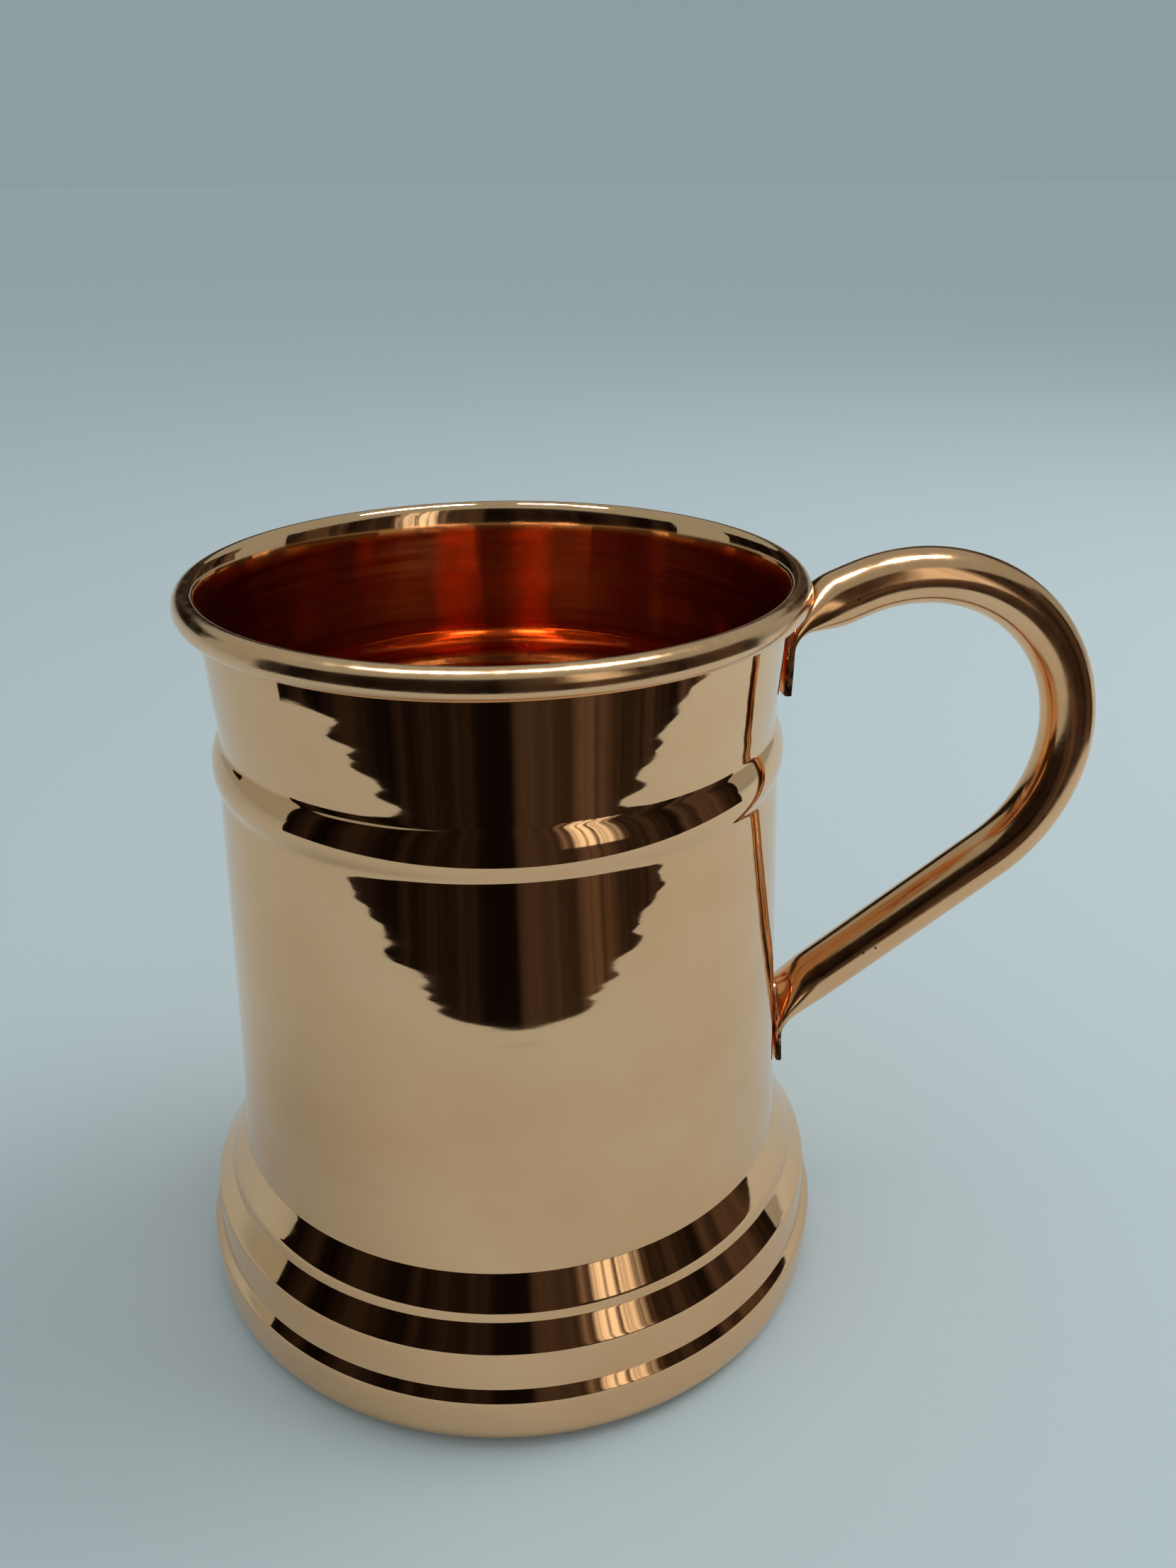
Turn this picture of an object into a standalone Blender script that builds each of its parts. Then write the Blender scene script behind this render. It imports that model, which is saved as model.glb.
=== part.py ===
"""A spun copper tankard mug: a sheet body with a rolled rim, one raised ring and a stepped foot, a base
plate soldered into the foot, and a bent tube handle brazed on by its two flattened ends.

Metres, +Z up. The origin is on the mug's axis, in the plane it stands on. The handle points along +X.
Outlines are (radius, height) points in millimetres until they become vertices.
"""

import math

import bmesh
import bpy

MM = 0.001
GAP = 0.35  # clearance between pieces that touch on the real mug, mm
TURN_STEPS = 48  # flats round each turned piece

# body
SHEET = 0.8
HEIGHT = 116.0
RIM_RADIUS = 45.0
CURL_HALF_WIDTH = 2.0
CURL_HALF_HEIGHT = 2.15
CURL_END_DEG = -112.0  # where the rolled edge stops, just clear of the wall
MOUTH_FLARE = 5.0  # height over which the wall's outer face opens into the rolled rim
RING_HEIGHT = 90.9
RING_HALF_WIDTH = 3.5
RING_PROUD = 1.1
WALL_ABOVE_RING = 40.7
WALL_BELOW_RING = 41.48
FLANGE_INNER_RADIUS = 41.0
# corners of the outer outline, from the turned-in flange up to the ring: radius, height, rounding
FOOT_CORNERS = (
    (FLANGE_INNER_RADIUS, 0.0, 0.0),
    (50.75, 0.0, 3.4),
    (50.85, 8.8, 1.3),
    (49.68, 10.5, 0.3),
    (49.35, 16.7, 1.6),
    (46.85, 20.2, 0.3),
    (46.70, 21.6, 3.0),
    (44.05, 26.5, 0.4),
    (43.30, 37.0, 60.0),
    (WALL_BELOW_RING, RING_HEIGHT - RING_HALF_WIDTH, 0.0),
)

# base plate: its rim rests on the flange, and its middle is pressed down level with the flange
PLATE = 0.8
PLATE_PANEL_RADIUS = 39.0
PLATE_RIM_RADIUS = 46.2
PLATE_STEP_SHIFT = 0.4  # the step's inner side is this much further in than its outer side
SEAM_OUTER_RADIUS = 48.4  # just clear of the inside of the foot's wall
SEAM_LEG = 1.8
SEAM_LEAN = 0.5  # the foot's wall leans out this much over the leg's height
SEAM_HOLLOW = 0.35  # share of the leg left at the middle of the fillet's hollow face

# handle
TUBE_RADIUS = 4.25
TAB_HALF_WIDTH = 6.2
LOOP_CENTRE = (64.0, 85.5)
LOOP_RADIUS = 26.7
LOOP_START_DEG = 112.0
LOOP_END_DEG = -53.7
UPPER_TAB = {"end": (42.50, 96.2), "corner": (42.80, 105.8), "bend": 4.5, "half_thickness": 0.75}
LOWER_TAB = {"end": (44.76, 30.6), "corner": (44.30, 37.9), "bend": 5.0, "half_thickness": 0.65}
UPPER_SWELL = (7.5, 18.0)  # path length from the tab's end where the tube starts and ends swelling
LOWER_SWELL = (5.8, 16.0)
SECTION_POINTS = 16
TAB_POWER = 0.45  # exponent of the section's sine and cosine: 1 is an ellipse, less is squarer
LOOP_STEPS = 18
LONGEST_STEP = 4.0

# braze fillets, arched over the handle's ends
BRAZE_RADIUS = 0.55
BRAZE_STANDOFF = 1.0
BRAZE_HALF_SPAN = 7.6
UPPER_BRAZE_HEIGHTS = (102.5, 109.7)
LOWER_BRAZE_HEIGHTS = (36.0, 44.7)
BRAZE_STEPS = 16
BRAZE_SIDES = 8
BRAZE_END_TAPER = 0.5


def arc(centre, radii, start_deg, end_deg, count):
    """Points on an ellipse with its axes along radius and height, both ends included."""
    points = []
    for i in range(count + 1):
        angle = math.radians(start_deg + (end_deg - start_deg) * i / count)
        points.append((centre[0] + radii[0] * math.cos(angle), centre[1] + radii[1] * math.sin(angle)))
    return points


def rounded_corner(before, corner, after, radius, count):
    """The arc of the given radius that is tangent to both sides of a corner."""
    towards = [math.atan2(p[1] - corner[1], p[0] - corner[0]) for p in (before, after)]
    opening = (towards[1] - towards[0] + math.pi) % (2 * math.pi) - math.pi
    reach = radius / abs(math.tan(opening / 2))
    middle = towards[0] + opening / 2
    to_centre = math.hypot(reach, radius)
    centre = (corner[0] + to_centre * math.cos(middle), corner[1] + to_centre * math.sin(middle))
    start = (corner[0] + reach * math.cos(towards[0]), corner[1] + reach * math.sin(towards[0]))
    start_angle = math.atan2(start[1] - centre[1], start[0] - centre[0])
    sweep = -math.copysign(math.pi - abs(opening), opening)
    points = []
    for i in range(count + 1):
        angle = start_angle + sweep * i / count
        points.append((centre[0] + radius * math.cos(angle), centre[1] + radius * math.sin(angle)))
    return points


def rounded_path(corners, count):
    """A path through (x, z, rounding) corners. Its two ends have no rounding."""
    path = []
    for i, (x, z, radius) in enumerate(corners):
        if radius == 0.0:
            path.append((x, z))
            continue
        path += rounded_corner(corners[i - 1][:2], (x, z), corners[i + 1][:2], radius, count)
    return path


def offset_path(path, distance):
    """The path moved to its left by a distance, point by point."""
    moved = []
    for i, (x, z) in enumerate(path):
        before = path[max(i - 1, 0)]
        after = path[min(i + 1, len(path) - 1)]
        along = math.atan2(after[1] - before[1], after[0] - before[0])
        moved.append((x - distance * math.sin(along), z + distance * math.cos(along)))
    return moved


def ring_arc(count):
    """The raised ring: the circular arc through its foot, its crown and its upper edge."""
    chord = 2 * RING_HALF_WIDTH
    radius = (RING_HALF_WIDTH**2 + RING_PROUD**2) / (2 * RING_PROUD)
    points = []
    for i in range(1, count):
        along = i / count
        height = RING_HEIGHT - RING_HALF_WIDTH + chord * along
        base = WALL_BELOW_RING + (WALL_ABOVE_RING - WALL_BELOW_RING) * along
        bulge = math.sqrt(radius**2 - (height - RING_HEIGHT) ** 2) - (radius - RING_PROUD)
        points.append((base + bulge, height))
    return points


def body_outline():
    """The closed section of the sheet: up its outer face, round the rolled rim, and back down inside."""
    curl_centre = (RIM_RADIUS - CURL_HALF_WIDTH, HEIGHT - CURL_HALF_HEIGHT)
    hollow = (CURL_HALF_WIDTH - SHEET, CURL_HALF_HEIGHT - SHEET)
    outer = rounded_path(FOOT_CORNERS, 2)
    outer += ring_arc(5)
    outer.append((WALL_ABOVE_RING, RING_HEIGHT + RING_HALF_WIDTH))
    outer += arc((curl_centre[0], HEIGHT - SHEET - MOUTH_FLARE), (hollow[0], MOUTH_FLARE), 180.0, 90.0, 5)
    outer += arc(curl_centre, hollow, 90.0, CURL_END_DEG, 7)[1:]
    return outer + offset_path(outer, SHEET)[::-1]


def plate_outline():
    """The base plate's section, from its middle out: a flat panel, a step up, and the rim on the flange."""
    rim = SHEET + GAP
    step = FLANGE_INNER_RADIUS - GAP
    return [
        (0.0, 0.0),
        (PLATE_PANEL_RADIUS, 0.0),
        (step, rim),
        (PLATE_RIM_RADIUS, rim),
        (PLATE_RIM_RADIUS, rim + PLATE),
        (step - PLATE_STEP_SHIFT, rim + PLATE),
        (PLATE_PANEL_RADIUS - PLATE_STEP_SHIFT, PLATE),
        (0.0, PLATE),
    ]


def seam_outline():
    """The solder fillet's section, in the corner between the base plate's rim and the foot's wall."""
    low = SHEET + PLATE + 2 * GAP
    return [
        (SEAM_OUTER_RADIUS - SEAM_LEG, low),
        (SEAM_OUTER_RADIUS, low),
        (SEAM_OUTER_RADIUS + SEAM_LEAN, low + SEAM_LEG),
        (SEAM_OUTER_RADIUS - SEAM_HOLLOW * SEAM_LEG, low + SEAM_HOLLOW * SEAM_LEG),
    ]


def handle_path():
    """The tube's centre line in the XZ plane, from the upper tab's lower end to the lower tab's."""
    loop = arc(LOOP_CENTRE, (LOOP_RADIUS, LOOP_RADIUS), LOOP_START_DEG, LOOP_END_DEG, LOOP_STEPS)
    upper = (UPPER_TAB["end"] + (0.0,), UPPER_TAB["corner"] + (UPPER_TAB["bend"],), loop[0] + (0.0,))
    lower = (loop[-1] + (0.0,), LOWER_TAB["corner"] + (LOWER_TAB["bend"],), LOWER_TAB["end"] + (0.0,))
    path = rounded_path(upper, 5) + loop[1:-1] + rounded_path(lower, 5)
    return subdivided(path, LONGEST_STEP)


def subdivided(path, longest):
    """The path with every stretch longer than the given length cut into equal parts."""
    points = [path[0]]
    for start, end in zip(path, path[1:]):
        parts = math.ceil(math.dist(start, end) / longest)
        for i in range(1, parts + 1):
            points.append(tuple(a + (b - a) * i / parts for a, b in zip(start, end)))
    return points


def smooth_step(low, high, value):
    t = min(max((value - low) / (high - low), 0.0), 1.0)
    return t * t * (3 - 2 * t)


def handle_section(from_upper, from_lower):
    """Half width, half thickness and exponent of the section at a distance from each tab's end."""
    upper = smooth_step(*UPPER_SWELL, from_upper)
    lower = smooth_step(*LOWER_SWELL, from_lower)
    roundness = min(upper, lower)
    flat = UPPER_TAB["half_thickness"] if from_upper < from_lower else LOWER_TAB["half_thickness"]
    half_width = TAB_HALF_WIDTH + (TUBE_RADIUS - TAB_HALF_WIDTH) * roundness
    half_thickness = flat + (TUBE_RADIUS - flat) * roundness
    return half_width, half_thickness, TAB_POWER + (1.0 - TAB_POWER) * roundness


def signed_power(value, power):
    return math.copysign(abs(value) ** power, value)


def mesh_object(name, verts, faces, material):
    """A closed smooth-shaded mesh object from vertices in millimetres, faces turned outward."""
    mesh = bpy.data.meshes.new(name)
    mesh.from_pydata([tuple(MM * c for c in v) for v in verts], [], faces)
    bm = bmesh.new()
    bm.from_mesh(mesh)
    bmesh.ops.recalc_face_normals(bm, faces=bm.faces)
    bm.to_mesh(mesh)
    bm.free()
    mesh.shade_smooth()
    mesh.set_sharp_from_angle(angle=math.radians(35))
    mesh.materials.append(material)
    part = bpy.data.objects.new(name, mesh)
    bpy.context.collection.objects.link(part)
    return part


def turned(name, outline, material):
    """A solid of revolution about Z from a closed section, spun from the +X half plane."""
    bm = bmesh.new()
    ring = [bm.verts.new((MM * r, 0.0, MM * z)) for r, z in outline]
    edges = [bm.edges.new((a, b)) for a, b in zip(ring, ring[1:] + ring[:1])]
    on_axis = [e for e in edges if all(v.co.x == 0.0 for v in e.verts)]
    bmesh.ops.delete(bm, geom=on_axis, context="EDGES")
    bmesh.ops.spin(
        bm,
        geom=bm.verts[:] + bm.edges[:],
        cent=(0, 0, 0),
        axis=(0, 0, 1),
        angle=2 * math.pi,
        steps=TURN_STEPS,
        use_merge=True,
    )
    bmesh.ops.remove_doubles(bm, verts=bm.verts, dist=1e-7)
    verts = [tuple(c / MM for c in v.co) for v in bm.verts]
    bm.verts.index_update()
    faces = [tuple(v.index for v in f.verts) for f in bm.faces]
    bm.free()
    return mesh_object(name, verts, faces, material)


def lofted(name, rings, material):
    """A closed body through rings of equally many points, with a flat face on each end."""
    count = len(rings[0])
    verts = [p for ring in rings for p in ring]
    faces = [tuple(range(count)), tuple(range(len(verts) - count, len(verts)))]
    for i in range(len(rings) - 1):
        for j in range(count):
            k = (j + 1) % count
            faces.append((i * count + j, i * count + k, (i + 1) * count + k, (i + 1) * count + j))
    return mesh_object(name, verts, faces, material)


def path_directions(path):
    directions = []
    for i in range(len(path)):
        before = path[max(i - 1, 0)]
        after = path[min(i + 1, len(path) - 1)]
        step = [b - a for a, b in zip(before, after)]
        length = math.hypot(*step)
        directions.append([c / length for c in step])
    return directions


def handle(material):
    path = handle_path()
    directions = path_directions(path)
    travelled = [0.0]
    for start, end in zip(path, path[1:]):
        travelled.append(travelled[-1] + math.dist(start, end))
    rings = []
    for (x, z), (dx, dz), distance in zip(path, directions, travelled):
        half_width, half_thickness, power = handle_section(distance, travelled[-1] - distance)
        ring = []
        for i in range(SECTION_POINTS):
            angle = 2 * math.pi * i / SECTION_POINTS
            across = half_width * signed_power(math.sin(angle), power)
            out = half_thickness * signed_power(math.cos(angle), power)
            ring.append((x - dz * out, across, z + dx * out))
        rings.append(ring)
    return lofted("handle", rings, material)


def wall_radius(height):
    """The wall's outer radius between the foot and the rim, away from the ring."""
    if height > RING_HEIGHT:
        low = (WALL_ABOVE_RING, RING_HEIGHT + RING_HALF_WIDTH)
        high = (RIM_RADIUS - 2 * CURL_HALF_WIDTH + SHEET, HEIGHT - SHEET - MOUTH_FLARE)
    else:
        low = FOOT_CORNERS[-2][:2]
        high = FOOT_CORNERS[-1][:2]
    along = (height - low[1]) / (high[1] - low[1])
    return low[0] + (high[0] - low[0]) * along


def braze(name, heights, material):
    """An arched fillet on the wall, over one end of the handle, with rounded ends."""
    low, high = heights
    path = []
    for i in range(BRAZE_STEPS + 1):
        angle = math.pi * (i / BRAZE_STEPS - 0.5)
        across = BRAZE_HALF_SPAN * math.sin(angle)
        height = low + (high - low) * math.cos(angle)
        outward = math.sqrt(wall_radius(height) ** 2 - across**2) + BRAZE_STANDOFF
        path.append((outward, across, height))
    rings = []
    for i, (point, direction) in enumerate(zip(path, path_directions(path))):
        taper = BRAZE_END_TAPER if i in (0, BRAZE_STEPS) else 1.0
        side = (0.0, -direction[2], direction[1])
        length = math.hypot(*side)
        ring = []
        for k in range(BRAZE_SIDES):
            angle = 2 * math.pi * k / BRAZE_SIDES
            out = taper * BRAZE_RADIUS * math.cos(angle)
            along_side = taper * BRAZE_RADIUS * math.sin(angle) / length
            ring.append((point[0] + out, point[1] + side[1] * along_side, point[2] + side[2] * along_side))
        rings.append(ring)
    return lofted(name, rings, material)


def metal(name, colour, roughness):
    material = bpy.data.materials.new(name)
    material.use_nodes = True
    shader = material.node_tree.nodes["Principled BSDF"]
    shader.inputs["Base Color"].default_value = (*colour, 1.0)
    shader.inputs["Metallic"].default_value = 1.0
    shader.inputs["Roughness"].default_value = roughness
    return material


def main():
    for old in list(bpy.data.objects):
        bpy.data.objects.remove(old)
    copper = metal("polished_copper", (0.86, 0.52, 0.34), 0.08)
    inner_copper = metal("brushed_copper", (0.80, 0.42, 0.26), 0.25)
    solder = metal("silver_solder", (0.70, 0.62, 0.50), 0.35)
    braze_metal = metal("braze", (0.78, 0.45, 0.26), 0.25)
    turned("body_shell", body_outline(), copper)
    turned("base_disc", plate_outline(), inner_copper)
    turned("base_seam", seam_outline(), solder)
    handle(copper)
    braze("braze_upper", UPPER_BRAZE_HEIGHTS, braze_metal)
    braze("braze_lower", LOWER_BRAZE_HEIGHTS, braze_metal)


main()
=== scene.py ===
"""The looks of the copper mug: finely stepped copper skins over the CAD frame, with procedural finishes.

Metres, +Z up, the handle along +X. Outlines are (radius, height) points in millimetres until they become
vertices.
"""

import math

import bmesh
import bpy
from mathutils import Matrix, Vector, noise


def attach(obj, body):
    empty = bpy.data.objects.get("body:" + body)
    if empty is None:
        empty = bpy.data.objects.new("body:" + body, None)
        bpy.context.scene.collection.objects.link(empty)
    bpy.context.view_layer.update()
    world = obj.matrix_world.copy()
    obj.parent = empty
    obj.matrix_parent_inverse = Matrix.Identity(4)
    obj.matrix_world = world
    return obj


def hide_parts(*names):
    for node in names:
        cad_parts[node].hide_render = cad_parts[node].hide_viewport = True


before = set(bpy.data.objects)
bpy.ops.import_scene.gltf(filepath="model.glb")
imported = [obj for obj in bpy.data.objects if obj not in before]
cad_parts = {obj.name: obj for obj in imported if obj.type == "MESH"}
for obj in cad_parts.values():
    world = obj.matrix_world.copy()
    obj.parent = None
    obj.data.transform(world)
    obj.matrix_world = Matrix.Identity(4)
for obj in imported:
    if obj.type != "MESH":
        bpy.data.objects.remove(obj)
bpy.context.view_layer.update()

MM = 0.001
SHEET = 0.8
HEIGHT = 116.0
RIM_RADIUS = 45.0
CURL_HALF = (2.0, 2.15)
CURL_END_DEG = -112.0
MOUTH_FLARE = 5.0
RING_HEIGHT = 90.9
RING_HALF_WIDTH = 3.5
RING_PROUD = 1.1
WALL_ABOVE_RING = 40.7
WALL_BELOW_RING = 41.48
FOOT_CORNERS = (
    (41.0, 0.0, 0.0),
    (50.75, 0.0, 3.4),
    (50.85, 8.8, 1.3),
    (49.68, 10.5, 0.35),
    (49.35, 16.7, 1.6),
    (46.85, 20.2, 0.35),
    (46.70, 21.6, 3.0),
    (44.05, 26.5, 0.5),
    (43.30, 37.0, 60.0),
    (WALL_BELOW_RING, RING_HEIGHT - RING_HALF_WIDTH, 0.0),
)
FLANGE_INNER_RADIUS = FOOT_CORNERS[0][0]
PLATE = 0.8
PLATE_PANEL_RADIUS = 39.0
PLATE_RIM_RADIUS = 46.2
PLATE_STEP_SHIFT = 0.4
SEAM_OUTER_RADIUS = 48.4
SEAM_LEG = 1.8
SEAM_LEAN = 0.5
GAP = 0.35
TURN_STEPS = 192
# spacing along the wall, depth below the ring and depth above it
RIPPLES = ((1.1, 0.0045, 0.0065), (2.3, 0.013, 0.020), (4.7, 0.026, 0.017), (9.5, 0.035, 0.012))

TUBE_RADIUS = 4.25
TAB_HALF_WIDTH = 6.2
LOOP_CENTRE = (64.0, 85.5)
LOOP_RADIUS = 26.7
LOOP_DEG = (112.0, -53.7)
UPPER_TAB = {"end": (42.50, 96.2), "corner": (42.80, 105.8), "bend": 4.5, "half_thickness": 0.75}
LOWER_TAB = {"end": (44.76, 30.6), "corner": (44.30, 37.9), "bend": 5.0, "half_thickness": 0.65}
UPPER_SWELL = (7.5, 18.0)
LOWER_SWELL = (5.8, 16.0)
TAB_POWER = 0.45
SECTION_POINTS = 72
BRAZE_HALF_WIDTH = 7.6
BRAZE_STAND_OFF = 0.95
BRAZE_BEADS = 7
BRAZE_THIN = 0.34
BRAZE_THICK = 0.60
BRAZE_HEIGHTS = {"upper": (102.5, 109.7), "lower": (36.0, 44.7)}

# the camera and the stage, in metres
CAMERA_PLACE = (-0.01315, -0.18803, 0.16661)
CAMERA_TURN_DEG = (7.98, -24.24, -0.22)  # to the right of +Y, up, and about its own axis
CAMERA_LENS = 41.23
FAR = 40.0
TABLE_FRONT = 0.151
TABLE_LEFT = 0.262
TABLE_RIGHT = 0.300
TABLE_POWER = 2.2
ROOM_RADIUS = 1.3
LAMP_ROW = (-0.52, -0.24, 0.20, 0.44, 0.62)
LAMP_HEIGHT = 1.5


# ---------------------------------------------------------------- camera

def make_camera():
    data = bpy.data.cameras.new("camera")
    data.sensor_fit = "HORIZONTAL"
    data.sensor_width = 36.0
    data.lens = CAMERA_LENS
    data.clip_start = 0.01
    camera = bpy.data.objects.new("camera", data)
    bpy.context.scene.collection.objects.link(camera)
    yaw, pitch, roll = (math.radians(a) for a in CAMERA_TURN_DEG)
    turn = Matrix.Rotation(-yaw, 4, "Z") @ Matrix.Rotation(math.pi / 2 + pitch, 4, "X")
    camera.matrix_world = Matrix.Translation(CAMERA_PLACE) @ turn @ Matrix.Rotation(roll, 4, "Z")
    bpy.context.scene.camera = camera


# ---------------------------------------------------------------- outlines

def arc(centre, radii, start_deg, end_deg, count):
    points = []
    for i in range(count + 1):
        angle = math.radians(start_deg + (end_deg - start_deg) * i / count)
        points.append((centre[0] + radii[0] * math.cos(angle), centre[1] + radii[1] * math.sin(angle)))
    return points


def rounded_corner(before, corner, after, radius, count):
    towards = [math.atan2(p[1] - corner[1], p[0] - corner[0]) for p in (before, after)]
    opening = (towards[1] - towards[0] + math.pi) % (2 * math.pi) - math.pi
    reach = radius / abs(math.tan(opening / 2))
    middle = towards[0] + opening / 2
    to_centre = math.hypot(reach, radius)
    centre = (corner[0] + to_centre * math.cos(middle), corner[1] + to_centre * math.sin(middle))
    start = (corner[0] + reach * math.cos(towards[0]), corner[1] + reach * math.sin(towards[0]))
    start_angle = math.atan2(start[1] - centre[1], start[0] - centre[0])
    sweep = -math.copysign(math.pi - abs(opening), opening)
    points = []
    for i in range(count + 1):
        angle = start_angle + sweep * i / count
        points.append((centre[0] + radius * math.cos(angle), centre[1] + radius * math.sin(angle)))
    return points


def rounded_path(corners, count):
    path = []
    for i, (x, z, radius) in enumerate(corners):
        if radius == 0.0:
            path.append((x, z))
        else:
            path += rounded_corner(corners[i - 1][:2], (x, z), corners[i + 1][:2], radius, count)
    return path


def offset_path(path, distance):
    moved = []
    for i, (x, z) in enumerate(path):
        before = path[max(i - 1, 0)]
        after = path[min(i + 1, len(path) - 1)]
        along = math.atan2(after[1] - before[1], after[0] - before[0])
        moved.append((x - distance * math.sin(along), z + distance * math.cos(along)))
    return moved


def subdivided(path, longest):
    points = [path[0]]
    for start, end in zip(path, path[1:]):
        parts = max(1, math.ceil(math.dist(start, end) / longest))
        for i in range(1, parts + 1):
            points.append(tuple(a + (b - a) * i / parts for a, b in zip(start, end)))
    return points


def ring_arc(count):
    chord = 2 * RING_HALF_WIDTH
    radius = (RING_HALF_WIDTH**2 + RING_PROUD**2) / (2 * RING_PROUD)
    points = []
    for i in range(1, count):
        along = i / count
        height = RING_HEIGHT - RING_HALF_WIDTH + chord * along
        base = WALL_BELOW_RING + (WALL_ABOVE_RING - WALL_BELOW_RING) * along
        bulge = math.sqrt(radius**2 - (height - RING_HEIGHT) ** 2) - (radius - RING_PROUD)
        points.append((base + bulge, height))
    return points


def softened(path, radius_mm, passes):
    """The path with each crease relaxed a little, so that it catches light like a worked sheet."""
    for _ in range(passes):
        out = [path[0]]
        for a, b, c in zip(path, path[1:], path[2:]):
            mid = ((a[0] + c[0]) / 2, (a[1] + c[1]) / 2)
            gap = math.dist(b, mid)
            share = min(0.5, radius_mm / max(gap, 1e-6))
            out.append((b[0] + (mid[0] - b[0]) * share, b[1] + (mid[1] - b[1]) * share))
        out.append(path[-1])
        path = out
    return path


def body_paths():
    """The outer and the inner path of the sheet, from the foot's flange up to the edge of the rolled rim."""
    curl_centre = (RIM_RADIUS - CURL_HALF[0], HEIGHT - CURL_HALF[1])
    hollow = (CURL_HALF[0] - SHEET, CURL_HALF[1] - SHEET)
    wall = rounded_path(FOOT_CORNERS, 10) + ring_arc(20)
    wall.append((WALL_ABOVE_RING, RING_HEIGHT + RING_HALF_WIDTH))
    mouth = arc((curl_centre[0], HEIGHT - SHEET - MOUTH_FLARE), (hollow[0], MOUTH_FLARE), 180.0, 90.0, 24)
    curl = arc(curl_centre, hollow, 90.0, CURL_END_DEG, 32)
    outer = subdivided(wall + mouth[:1], 0.42) + mouth[1:] + curl[1:]
    outer = softened(outer, 0.02, 3)
    return outer, offset_path(outer, SHEET)


def smooth_step(low, high, value):
    t = min(max((value - low) / (high - low), 0.0), 1.0)
    return t * t * (3 - 2 * t)


def wall_ripple(height, angle):
    """Radius change left by the polishing wheel: low uneven rings round the wall that wander slowly, in mm."""
    across, along = 0.55 * math.cos(angle), 0.55 * math.sin(angle)
    above_ring = smooth_step(RING_HEIGHT, RING_HEIGHT + 2 * RING_HALF_WIDTH, height)
    total = 0.0
    for wave, depth, depth_above in RIPPLES:
        depth += (depth_above - depth) * above_ring
        total += depth * noise.noise(Vector((across + wave, along - wave, height / wave)))
    return total * (0.35 + 0.65 * smooth_step(34.0, 40.0, height) * smooth_step(114.5, 111.5, height))


# ---------------------------------------------------------------- meshes

def fix_normals(part):
    bm = bmesh.new()
    bm.from_mesh(part.data)
    bmesh.ops.recalc_face_normals(bm, faces=bm.faces)
    bm.to_mesh(part.data)
    bm.free()
    part.data.set_sharp_from_angle(angle=math.radians(50))


def mesh_object(name, node, verts, faces, materials, indices=()):
    """A visible piece in metres that rides on the body and stands for one CAD node."""
    mesh = bpy.data.meshes.new(name)
    mesh.from_pydata([tuple(MM * c for c in v) for v in verts], [], faces)
    for material in materials:
        mesh.materials.append(material)
    if indices:
        mesh.polygons.foreach_set("material_index", indices)
    mesh.shade_smooth()
    part = bpy.data.objects.new(name, mesh)
    bpy.context.scene.collection.objects.link(part)
    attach(part, "root")
    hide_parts(node)
    fix_normals(part)


def turned_mesh(outline, ripple=None):
    """Vertices and faces of a closed section turned about Z. A point on the axis is one vertex."""
    verts = []
    rows = []
    for r, z in outline:
        if r < 1e-6:
            rows.append([len(verts)] * TURN_STEPS)
            verts.append((0.0, 0.0, z))
            continue
        row = []
        for i in range(TURN_STEPS):
            angle = 2 * math.pi * i / TURN_STEPS
            radius = r + (ripple(z, angle) if ripple else 0.0)
            row.append(len(verts))
            verts.append((radius * math.cos(angle), radius * math.sin(angle), z))
        rows.append(row)
    faces = []
    row_of_face = []
    for k in range(len(rows)):
        low, high = rows[k], rows[(k + 1) % len(rows)]
        if low[0] == low[1] and high[0] == high[1]:
            continue
        for i in range(TURN_STEPS):
            j = (i + 1) % TURN_STEPS
            corners = []
            for v in (low[i], low[j], high[j], high[i]):
                if v not in corners:
                    corners.append(v)
            faces.append(tuple(corners))
            row_of_face.append(k)
    return verts, faces, row_of_face


def tube_faces(rings, sides):
    """Faces that join rings of vertices into a tube closed at both ends."""
    faces = [tuple(range(sides - 1, -1, -1)), tuple(range((rings - 1) * sides, rings * sides))]
    for i in range(rings - 1):
        for j in range(sides):
            k = (j + 1) % sides
            faces.append((i * sides + j, i * sides + k, (i + 1) * sides + k, (i + 1) * sides + j))
    return faces


# ---------------------------------------------------------------- handle

def signed_power(value, power):
    return math.copysign(abs(value) ** power, value)


def path_directions(path):
    directions = []
    for i in range(len(path)):
        before = path[max(i - 1, 0)]
        after = path[min(i + 1, len(path) - 1)]
        step = [b - a for a, b in zip(before, after)]
        length = math.hypot(*step)
        directions.append([c / length for c in step])
    return directions


def handle_path(step):
    loop = arc(LOOP_CENTRE, (LOOP_RADIUS, LOOP_RADIUS), *LOOP_DEG, 60)
    upper = (UPPER_TAB["end"] + (0.0,), UPPER_TAB["corner"] + (UPPER_TAB["bend"],), loop[0] + (0.0,))
    lower = (loop[-1] + (0.0,), LOWER_TAB["corner"] + (LOWER_TAB["bend"],), LOWER_TAB["end"] + (0.0,))
    path = rounded_path(upper, 12) + loop[1:-1] + rounded_path(lower, 12)
    return subdivided(path, step)


def handle_section(from_upper, from_lower):
    upper = smooth_step(*UPPER_SWELL, from_upper)
    lower = smooth_step(*LOWER_SWELL, from_lower)
    roundness = min(upper, lower)
    flat = UPPER_TAB["half_thickness"] if from_upper < from_lower else LOWER_TAB["half_thickness"]
    half_width = TAB_HALF_WIDTH + (TUBE_RADIUS - TAB_HALF_WIDTH) * roundness
    half_thickness = flat + (TUBE_RADIUS - flat) * roundness
    return half_width, half_thickness, TAB_POWER + (1.0 - TAB_POWER) * roundness


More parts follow.
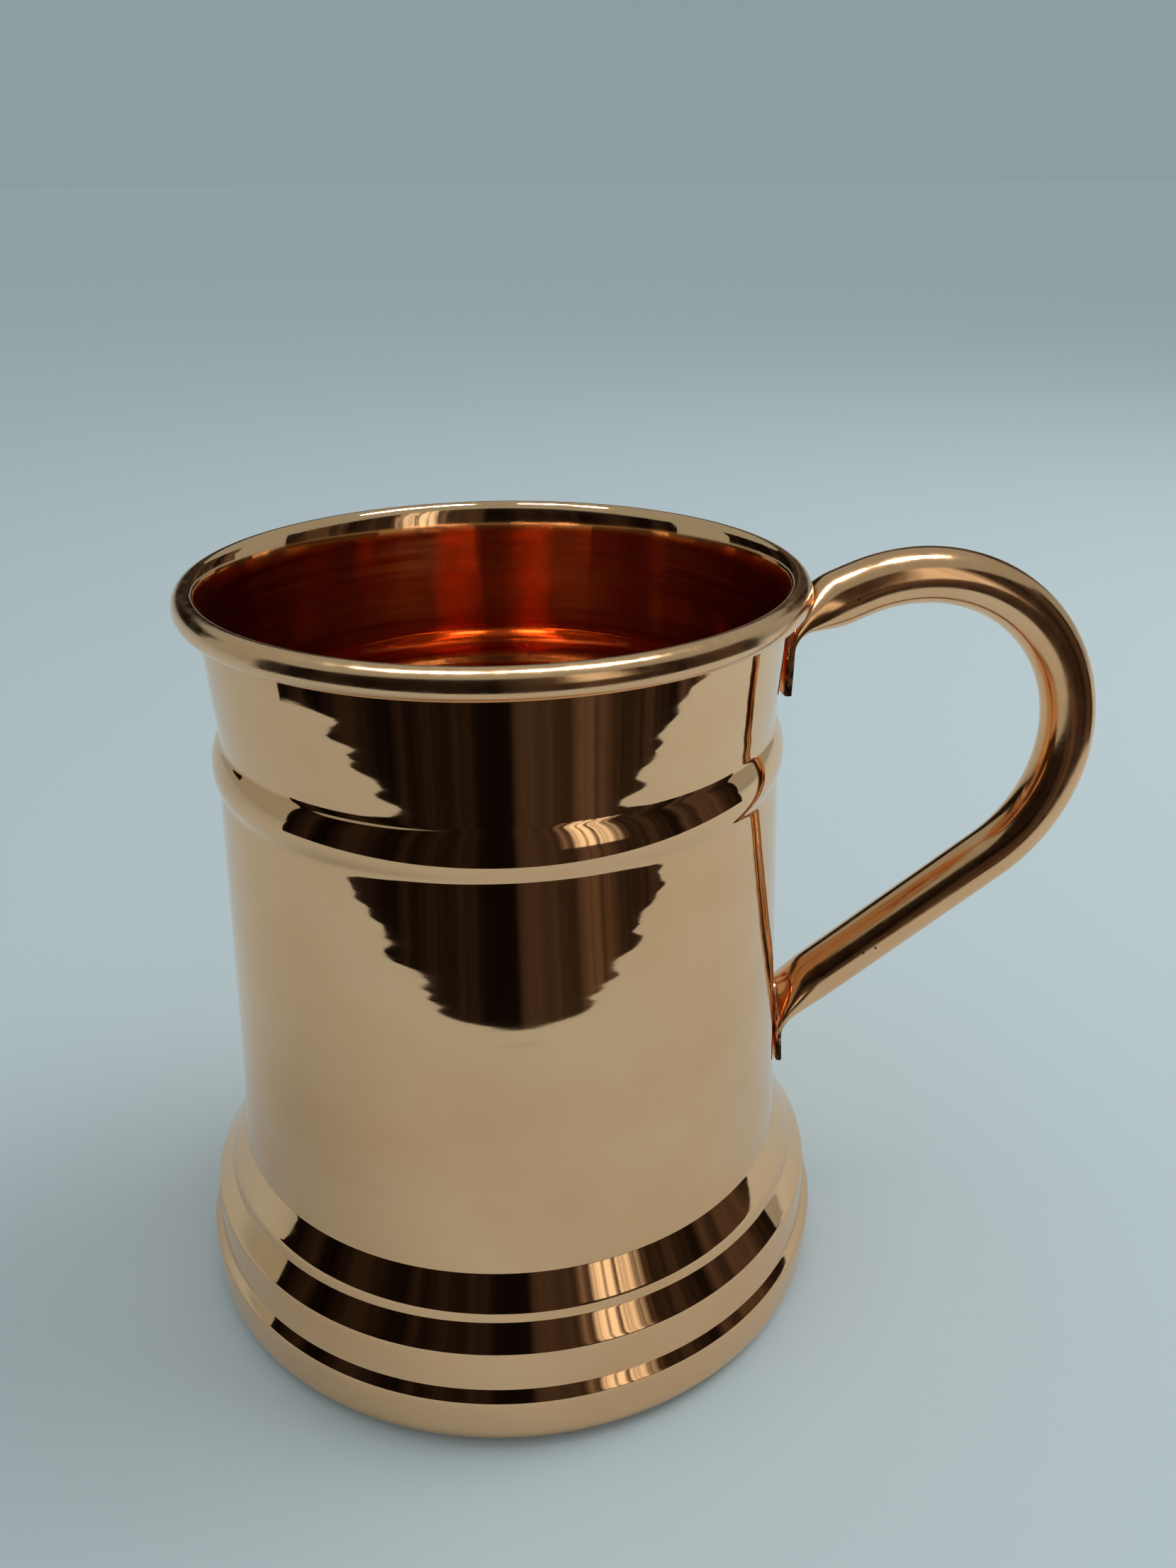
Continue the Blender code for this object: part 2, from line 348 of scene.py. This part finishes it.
def build_handle(material):
    path = handle_path(0.8)
    directions = path_directions(path)
    travelled = [0.0]
    for start, end in zip(path, path[1:]):
        travelled.append(travelled[-1] + math.dist(start, end))
    verts = []
    for (x, z), (dx, dz), distance in zip(path, directions, travelled):
        half_width, half_thickness, power = handle_section(distance, travelled[-1] - distance)
        for i in range(SECTION_POINTS):
            angle = 2 * math.pi * i / SECTION_POINTS
            across = half_width * signed_power(math.sin(angle), power)
            out = half_thickness * signed_power(math.cos(angle), power)
            dent = 0.02 * noise.noise(Vector((x / 9 + out / 6, across / 6, z / 9)))
            scale = 1 + dent / max(half_thickness, 1.0)
            verts.append((x - dz * out * scale, across * scale, z + dx * out * scale))
    faces = tube_faces(len(path), SECTION_POINTS)
    mesh_object("handle_tube", "handle", verts, faces, [material])


# ---------------------------------------------------------------- materials

class Nodes:
    """A short way to build a Principled material."""

    def __init__(self, name, colour, roughness):
        self.material = bpy.data.materials.new(name)
        self.material.use_nodes = True
        self.tree = self.material.node_tree
        self.shader = self.tree.nodes["Principled BSDF"]
        self.set(self.shader, "Base Color", (*colour, 1.0))
        self.set(self.shader, "Metallic", 1.0)
        self.set(self.shader, "Roughness", roughness)
        self.coords = self.tree.nodes.new("ShaderNodeTexCoord").outputs["Object"]

    def set(self, node, key, value):
        if hasattr(value, "is_output"):
            self.tree.links.new(value, node.inputs[key])
        else:
            node.inputs[key].default_value = value

    def scaled(self, scale):
        node = self.tree.nodes.new("ShaderNodeMapping")
        self.set(node, "Vector", self.coords)
        self.set(node, "Scale", scale)
        return node.outputs["Vector"]

    def noise(self, scale, detail, rough):
        node = self.tree.nodes.new("ShaderNodeTexNoise")
        self.set(node, "Vector", self.scaled(scale))
        self.set(node, "Scale", 1.0)
        self.set(node, "Detail", detail)
        self.set(node, "Roughness", rough)
        return node.outputs["Fac"]

    def axes(self):
        node = self.tree.nodes.new("ShaderNodeSeparateXYZ")
        self.set(node, 0, self.coords)
        return tuple(node.outputs)

    def cells(self, scale):
        node = self.tree.nodes.new("ShaderNodeTexVoronoi")
        self.set(node, "Vector", self.scaled(scale))
        self.set(node, "Scale", 1.0)
        return node

    def math(self, operation, a, b=0.0):
        node = self.tree.nodes.new("ShaderNodeMath")
        node.operation = operation
        for i, value in enumerate((a, b)):
            self.set(node, i, value)
        return node.outputs[0]

    def ranged(self, value, low, high, to_low, to_high):
        node = self.tree.nodes.new("ShaderNodeMapRange")
        self.set(node, "Value", value)
        self.set(node, "From Min", low)
        self.set(node, "From Max", high)
        self.set(node, "To Min", to_low)
        self.set(node, "To Max", to_high)
        return node.outputs["Result"]

    def mix(self, factor, a, b):
        node = self.tree.nodes.new("ShaderNodeMix")
        node.data_type = "RGBA"
        self.set(node, 0, factor)
        for key, value in ((6, a), (7, b)):
            if hasattr(value, "is_output"):
                self.tree.links.new(value, node.inputs[key])
            else:
                node.inputs[key].default_value = (*value, 1.0)
        return node.outputs[2]

    def bump(self, height, strength, distance, normal=None):
        node = self.tree.nodes.new("ShaderNodeBump")
        self.set(node, "Height", height)
        self.set(node, "Strength", strength)
        self.set(node, "Distance", distance)
        if normal is not None:
            self.tree.links.new(normal, node.inputs["Normal"])
        return node.outputs["Normal"]

    def specks(self, cell_mm, radius_share, share_kept):
        """1 inside sparse dots: one cell in every few holds a speck near its centre."""
        cells = self.cells((1000 / cell_mm,) * 3)
        chosen = self.math("GREATER_THAN", cells.outputs["Color"], 1 - share_kept)
        near = self.ranged(cells.outputs["Distance"], radius_share * 0.6, radius_share, 1.0, 0.0)
        return self.math("MULTIPLY", chosen, near)


COPPER_PALE = (0.93, 0.57, 0.32)
COPPER_DEEP = (0.88, 0.50, 0.26)
OXIDE = (0.045, 0.022, 0.012)


def polished_copper():
    n = Nodes("polished_copper", COPPER_PALE, 0.06)
    drift = n.noise((28, 28, 40), 4.0, 0.6)
    colour = n.mix(n.ranged(drift, 0.35, 0.68, 0.0, 1.0), COPPER_PALE, COPPER_DEEP)
    specks = n.specks(7.0, 0.035, 0.12)
    colour = n.mix(specks, colour, OXIDE)
    n.set(n.shader, "Base Color", colour)
    haze = n.noise((60, 60, 900), 4.0, 0.7)
    rough = n.ranged(haze, 0.3, 0.75, 0.02, 0.06)
    scuffs = n.noise((500, 500, 500), 4.0, 0.7)
    on_rim = n.ranged(n.axes()[2], 0.1105, 0.1125, 0.0, 1.0)
    rough = n.math("ADD", rough, n.math("MULTIPLY", on_rim, n.ranged(scuffs, 0.3, 0.7, 0.08, 0.20)))
    n.set(n.shader, "Roughness", n.math("MAXIMUM", rough, n.math("MULTIPLY", specks, 0.6)))
    lines = n.noise((22, 22, 700), 3.0, 0.6)
    fine = n.noise((40, 40, 5200), 2.0, 0.6)
    normal = n.bump(lines, 0.06, 0.00002)
    normal = n.bump(fine, 0.05, 0.000006, normal)
    normal = n.bump(n.math("MULTIPLY", specks, -1.0), 0.5, 0.00005, normal)
    n.set(n.shader, "Normal", normal)
    return n.material


def spun_copper_painted_shade():
    n = Nodes("spun_copper_painted_shade", COPPER_DEEP, 0.22)
    n.set(n.shader, "Anisotropic", 0.85)
    n.set(n.shader, "Anisotropic Rotation", 0.25)
    tangent = n.tree.nodes.new("ShaderNodeTangent")
    tangent.direction_type = "RADIAL"
    tangent.axis = "Z"
    n.set(n.shader, "Tangent", tangent.outputs[0])
    drift = n.noise((30, 30, 60), 4.0, 0.6)
    # painted shade: both tones of the inside are far darker than the outside's copper and stand in for the
    # dimness deep in the mug; the drift between them is random
    colour = n.mix(n.ranged(drift, 0.35, 0.7, 0.0, 1.0), (0.73, 0.29, 0.105), (0.56, 0.17, 0.05))
    # the painted shade fades out towards the rim, where the inside takes the outside's pale copper
    near_rim = n.ranged(n.axes()[2], 0.1075, 0.1125, 0.0, 1.0)
    n.set(n.shader, "Base Color", n.mix(near_rim, colour, COPPER_PALE))
    haze = n.noise((40, 40, 1500), 3.0, 0.6)
    rough = n.ranged(haze, 0.3, 0.75, 0.10, 0.19)
    n.set(n.shader, "Roughness", n.math("MULTIPLY", rough, n.ranged(near_rim, 0.0, 1.0, 1.0, 0.55)))
    lines = n.noise((12, 12, 2600), 3.0, 0.7)
    streaks = n.noise((150, 150, 7), 3.0, 0.6)
    n.set(n.shader, "Normal", n.bump(lines, 0.08, 0.00001, n.bump(streaks, 0.5, 0.00012)))
    return n.material


def handle_copper():
    n = Nodes("handle_copper", COPPER_PALE, 0.08)
    drift = n.noise((60, 60, 60), 4.0, 0.6)
    colour = n.mix(n.ranged(drift, 0.35, 0.7, 0.0, 1.0), (0.93, 0.55, 0.30), (0.87, 0.46, 0.22))
    specks = n.specks(4.2, 0.07, 0.25)
    colour = n.mix(specks, colour, OXIDE)
    # the cut edges of the two tabs keep the black scale of brazing
    _, y, z = n.axes()
    edge = n.ranged(n.math("ABSOLUTE", y), 0.0050, 0.0058, 0.0, 1.0)
    low_end = n.ranged(z, 0.0355, 0.0385, 1.0, 0.0)
    high_end = n.math("MULTIPLY", n.ranged(z, 0.1000, 0.1030, 1.0, 0.0), n.ranged(z, 0.090, 0.091, 0.0, 1.0))
    patchy = n.ranged(n.noise((700, 700, 700), 3.0, 0.6), 0.30, 0.50, 0.4, 1.0)
    scale = n.math("MULTIPLY", n.math("MULTIPLY", edge, n.math("ADD", low_end, high_end)), patchy)
    colour = n.mix(scale, colour, OXIDE)
    n.set(n.shader, "Base Color", colour)
    haze = n.noise((300, 300, 300), 4.0, 0.7)
    rough = n.ranged(haze, 0.3, 0.75, 0.10, 0.22)
    rough = n.math("MAXIMUM", rough, n.math("MULTIPLY", n.math("MAXIMUM", specks, scale), 0.6))
    n.set(n.shader, "Roughness", rough)
    dents = n.noise((120, 120, 120), 3.0, 0.5)
    n.set(n.shader, "Normal", n.bump(dents, 0.12, 0.00025))
    return n.material


def braze_copper():
    n = Nodes("braze_copper", (0.86, 0.42, 0.22), 0.16)
    lumps = n.noise((900, 900, 900), 3.0, 0.6)
    colour = n.mix(n.ranged(lumps, 0.4, 0.7, 0.0, 1.0), (0.90, 0.46, 0.24), (0.40, 0.14, 0.06))
    n.set(n.shader, "Base Color", colour)
    n.set(n.shader, "Normal", n.bump(lumps, 0.4, 0.0002))
    return n.material


def seam_solder():
    n = Nodes("seam_solder", (0.72, 0.66, 0.55), 0.3)
    lumps = n.noise((500, 500, 500), 4.0, 0.6)
    n.set(n.shader, "Base Color", n.mix(lumps, (0.78, 0.70, 0.56), (0.55, 0.44, 0.30)))
    n.set(n.shader, "Roughness", n.ranged(lumps, 0.3, 0.7, 0.2, 0.45))
    n.set(n.shader, "Normal", n.bump(lumps, 0.4, 0.0003))
    return n.material


# ---------------------------------------------------------------- pieces

def build_body():
    # the drinking side takes copper darkened as painted shade
    outside, inside = polished_copper(), spun_copper_painted_shade()
    outer, inner = body_paths()

    # the offset to the left of an upward path is the drinking side, and the curl's offset is its outside
    outline = outer + inner[::-1]
    verts, faces, rows = turned_mesh(outline, wall_ripple)
    crown = max(range(len(inner)), key=lambda i: inner[i][1])
    indices = []
    for k in rows:
        inner_index = len(outline) - 1 - k
        drinking_side = len(outer) <= k and inner_index < crown
        indices.append(1 if drinking_side else 0)
    mesh_object("body_skin", "body_shell", verts, faces, [outside, inside], indices)


def build_base():
    rim = SHEET + GAP
    step = FLANGE_INNER_RADIUS - GAP
    plate = [
        (0.0, 0.0), (PLATE_PANEL_RADIUS, 0.0), (step, rim), (PLATE_RIM_RADIUS, rim),
        (PLATE_RIM_RADIUS, rim + PLATE), (step - PLATE_STEP_SHIFT, rim + PLATE),
        (PLATE_PANEL_RADIUS - PLATE_STEP_SHIFT, PLATE), (0.0, PLATE),
    ]
    verts, faces, _ = turned_mesh(subdivided(plate, 1.5))
    # the plate inside the mug takes the same copper darkened as painted shade
    mesh_object("base_plate_skin", "base_disc", verts, faces, [spun_copper_painted_shade()])
    low = SHEET + PLATE + 2 * GAP
    outer, leg = SEAM_OUTER_RADIUS, SEAM_LEG
    lean = outer + SEAM_LEAN
    seam = [(outer - leg, low), (outer, low), (lean, low + leg)]
    seam += arc((lean - 1.15 * leg, low + 1.15 * leg), (0.9 * leg, 0.9 * leg), -15.0, -75.0, 6)[1:-1]
    verts, faces, _ = turned_mesh(seam)
    mesh_object("base_seam_skin", "base_seam", verts, faces, [seam_solder()])


def wall_radius(height):
    if height > RING_HEIGHT:
        low = (WALL_ABOVE_RING, RING_HEIGHT + RING_HALF_WIDTH)
        high = (RIM_RADIUS - 2 * CURL_HALF[0] + SHEET, HEIGHT - SHEET - MOUTH_FLARE)
    else:
        low = FOOT_CORNERS[-2][:2]
        high = FOOT_CORNERS[-1][:2]
    along = (height - low[1]) / (high[1] - low[1])
    return low[0] + (high[0] - low[0]) * along


def build_braze(name, node, heights, material):
    low, high = heights
    steps = 96
    path = []
    for i in range(steps + 1):
        angle = math.pi * (i / steps - 0.5)
        across = BRAZE_HALF_WIDTH * math.sin(angle)
        height = low + (high - low) * math.cos(angle)
        outward = math.sqrt(wall_radius(height) ** 2 - across**2) + BRAZE_STAND_OFF
        path.append((outward, across, height))
    verts = []
    sides = 16
    for i, (point, direction) in enumerate(zip(path, path_directions(path))):
        side = (0.0, -direction[2], direction[1])
        length = math.hypot(*side)
        # unevenly spaced drops
        bead = 0.5 + 0.5 * math.sin(2 * math.pi * BRAZE_BEADS * i / steps + 1.3 * math.sin(i / 9))
        taper = math.sqrt(max(0.02, math.sin(math.pi * (i + 0.5) / (steps + 1))))
        radius = taper * (BRAZE_THIN + (BRAZE_THICK - BRAZE_THIN) * bead)
        for k in range(sides):
            angle = 2 * math.pi * k / sides
            out = radius * math.cos(angle)
            shift = radius * math.sin(angle) / length
            verts.append((point[0] + out, point[1] + side[1] * shift, point[2] + side[2] * shift))
    mesh_object(name, node, verts, tube_faces(len(path), sides), [material])


# ---------------------------------------------------------------- stage

def stage_mesh(name, verts, faces, material):
    mesh = bpy.data.meshes.new(name)
    mesh.from_pydata(verts, [], faces)
    mesh.materials.append(material)
    mesh.shade_smooth()
    part = bpy.data.objects.new(name, mesh)
    bpy.context.scene.collection.objects.link(part)
    return part


def seen_only_in_metal(part):
    part.visible_camera = False
    part.visible_diffuse = False
    part.visible_shadow = False
    part.visible_transmission = False
    part.visible_volume_scatter = False


def build_floor():
    material = bpy.data.materials.new("floor")
    material.use_nodes = True
    shader = material.node_tree.nodes["Principled BSDF"]
    shader.inputs["Base Color"].default_value = (0.52, 0.61, 0.635, 1.0)
    shader.inputs["Roughness"].default_value = 0.85
    shader.inputs["Specular IOR Level"].default_value = 0.2
    stage_mesh("floor", [(x, y, 0.0) for y in (-FAR, FAR) for x in (-FAR, FAR)], [(0, 1, 3, 2)], material)
    # the metal sees a sheet that rises behind the mug
    bend, lean, steps = 0.35, math.radians(36), 14
    profile = [
        (0.25 + bend * math.sin(lean * i / steps), 0.0005 + bend * (1 - math.cos(lean * i / steps)))
        for i in range(steps + 1)
    ]
    verts = [(x, y, z) for y, z in profile for x in (-FAR, FAR)]
    faces = [(2 * i, 2 * i + 1, 2 * i + 3, 2 * i + 2) for i in range(steps)]
    seen_only_in_metal(stage_mesh("rising_sheet", verts, faces, material))


def unlit_room_material():
    """Glow of the painted reflection of an unlit room: dim brown hangings in uneven upright folds, brighter
    towards +X, with one paler gap towards +X that glows as painted light.
    """
    material = bpy.data.materials.new("unlit_room")
    material.use_nodes = True
    tree = material.node_tree
    tree.nodes.clear()
    new = tree.nodes.new
    link = tree.links.new

    def calc(operation, a, b=0.0):
        node = new("ShaderNodeMath")
        node.operation = operation
        for socket, value in zip(node.inputs, (a, b)):
            if hasattr(value, "is_output"):
                link(value, socket)
            else:
                socket.default_value = value
        return node.outputs[0]

    def folds(per_radian, detail):
        node = new("ShaderNodeTexNoise")
        node.noise_dimensions = "1D"
        link(turn, node.inputs["W"])
        node.inputs["Scale"].default_value = per_radian
        node.inputs["Detail"].default_value = detail
        return node.outputs["Fac"]

    def between(value, low, high, to_low, to_high):
        node = new("ShaderNodeMapRange")
        node.interpolation_type = "SMOOTHSTEP"
        link(value, node.inputs["Value"])
        for key, number in zip(("From Min", "From Max", "To Min", "To Max"), (low, high, to_low, to_high)):
            node.inputs[key].default_value = number
        return node.outputs["Result"]

    place = new("ShaderNodeSeparateXYZ")
    link(new("ShaderNodeTexCoord").outputs["Object"], place.inputs[0])
    x, y, z = place.outputs
    turn = calc("ARCTAN2", x, calc("MULTIPLY", y, -1.0))
    hanging = between(folds(3.4, 3.0), 0.36, 0.72, 0.005, 0.055)
    # painted light: the hangings glow brighter towards +X
    hanging = calc("MULTIPLY", hanging, between(turn, -0.9, 1.2, 0.4, 1.9))
    # painted light: the paler gap glows as a lit patch seen in the metal's reflections
    off_gap = calc("ABSOLUTE", calc("SUBTRACT", turn, 0.50))
    gap = calc("MULTIPLY", between(off_gap, 0.06, 0.24, 1.0, 0.0), between(z, 0.0, 0.10, 0.03, 1.0))
    gap = calc("MULTIPLY", gap, between(folds(16.0, 2.0), 0.35, 0.60, 0.08, 1.1))
    emission = new("ShaderNodeEmission")
    mixed = new("ShaderNodeMix")
    mixed.data_type = "RGBA"
    link(between(gap, 0.02, 0.3, 0.0, 1.0), mixed.inputs[0])
    mixed.inputs[6].default_value = (1.0, 0.72, 0.52, 1.0)
    mixed.inputs[7].default_value = (1.0, 0.98, 0.85, 1.0)
    link(mixed.outputs[2], emission.inputs["Color"])
    link(calc("ADD", hanging, gap), emission.inputs["Strength"])
    link(emission.outputs[0], new("ShaderNodeOutputMaterial").inputs["Surface"])
    return material


def build_dark_side():
    """What the polished metal sees past the front edge of the table, and far behind it: an unlit room."""
    material = unlit_room_material()
    for name, first, last in (("unlit_front", -89, 94), ("unlit_back", 125, 240)):
        steps = 96
        verts = []
        faces = []
        for i in range(steps + 1):
            angle = math.radians(first + (last - first) * i / steps)
            x, y = math.sin(angle), -math.cos(angle)
            if name == "unlit_front":
                wide = TABLE_LEFT if x < 0 else TABLE_RIGHT
                spread = abs(x / wide) ** TABLE_POWER + abs(y / TABLE_FRONT) ** TABLE_POWER
                table = spread ** (-1 / TABLE_POWER)
                top = 0.68 + 0.55 * max(0.0, -y) ** 1.5
                rows = ((table, 0.0006), (ROOM_RADIUS, 0.0006), (ROOM_RADIUS, top))
            else:
                rows = ((ROOM_RADIUS, 0.20), (ROOM_RADIUS, 0.24), (ROOM_RADIUS, 0.72))
            verts += [(reach * x, reach * y, z) for reach, z in rows]
        for i in range(steps):
            a, b = 3 * i, 3 * i + 3
            faces += [(a, a + 1, b + 1, b), (a + 1, a + 2, b + 2, b + 1)]
        seen_only_in_metal(stage_mesh(name, verts, faces, material))


def area_light(name, place, target, size, power):
    data = bpy.data.lights.new(name, "AREA")
    data.shape = "DISK"
    data.size = size
    data.energy = power
    light = bpy.data.objects.new(name, data)
    bpy.context.scene.collection.objects.link(light)
    light.location = place
    light.rotation_euler = (Vector(target) - Vector(place)).to_track_quat("-Z", "Y").to_euler()
    return light


def build_lights():
    world = bpy.data.worlds.new("studio")
    bpy.context.scene.world = world
    world.use_nodes = True
    tree = world.node_tree
    output = tree.nodes["World Output"].inputs["Surface"]
    shader = tree.nodes["Background"]
    shader.inputs["Color"].default_value = (0.84, 0.90, 0.92, 1.0)
    shader.inputs["Strength"].default_value = 0.64
    shown = shader.outputs[0]
    # the metal sees a dimmer ceiling, and past the floor's far edge the camera sees more of the floor's colour
    for ray, colour, strength in (
        ("Is Glossy Ray", (0.86, 1.0, 0.96, 1.0), 0.36),
        ("Is Camera Ray", (0.437, 0.549, 0.584, 1.0), 0.61),
    ):
        other = tree.nodes.new("ShaderNodeBackground")
        other.inputs["Color"].default_value = colour
        other.inputs["Strength"].default_value = strength
        chosen = tree.nodes.new("ShaderNodeMixShader")
        tree.links.new(tree.nodes.new("ShaderNodeLightPath").outputs[ray], chosen.inputs[0])
        tree.links.new(shown, chosen.inputs[1])
        tree.links.new(other.outputs[0], chosen.inputs[2])
        shown = chosen.outputs[0]
    tree.links.new(shown, output)
    area_light("key", (0.60, 0.10, 0.80), (0, 0, 0.05), 0.7, 3.8).visible_glossy = False
    area_light("fill", (-0.6, 0.1, 1.3), (0, 0, 0.05), 0.9, 0.8).visible_glossy = False
    # a row of ceiling lamps, which only the metal shows
    for i, x in enumerate(LAMP_ROW):
        lamp = area_light(f"lamp_{i}", (x, 0.0, LAMP_HEIGHT), (x, 0.0, 0.0), 0.24, 5.0)
        lamp.visible_diffuse = False


make_camera()
build_body()
build_base()
build_handle(handle_copper())
braze_material = braze_copper()
for end, heights in BRAZE_HEIGHTS.items():
    build_braze(f"braze_beads_{end}", f"braze_{end}", heights, braze_material)
build_floor()
build_dark_side()
build_lights()
scene = bpy.context.scene
scene.view_settings.view_transform = "Standard"
scene.cycles.max_bounces = 16
scene.cycles.glossy_bounces = 14
